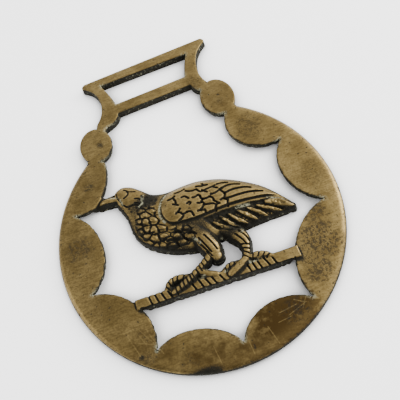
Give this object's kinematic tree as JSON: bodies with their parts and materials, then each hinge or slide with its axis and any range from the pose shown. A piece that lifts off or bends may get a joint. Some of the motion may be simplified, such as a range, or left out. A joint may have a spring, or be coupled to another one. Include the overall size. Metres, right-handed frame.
{
  "type": "horse brass",
  "caption": "Cast harness ornament: a flat scalloped ring with a slotted strap hanger, and a bird in relief that stands on a branch across the opening.",
  "frame": {"origin": "centre of the ring's round rim on the flat back, under the bird's body", "axes": "+Y from the ring's centre towards the strap hanger, +X to the right as the face is seen, +Z out of the face"},
  "size_m": [0.0762, 0.0977, 0.0051],
  "materials": {
    "aged_brass": "aged satin brass, worn smooth on the raised faces, with near-black rough walls and grooves and a brown patina"
  },
  "bodies": {
    "root": {"horse_brass": "aged_brass"}
  },
  "joints": []
}
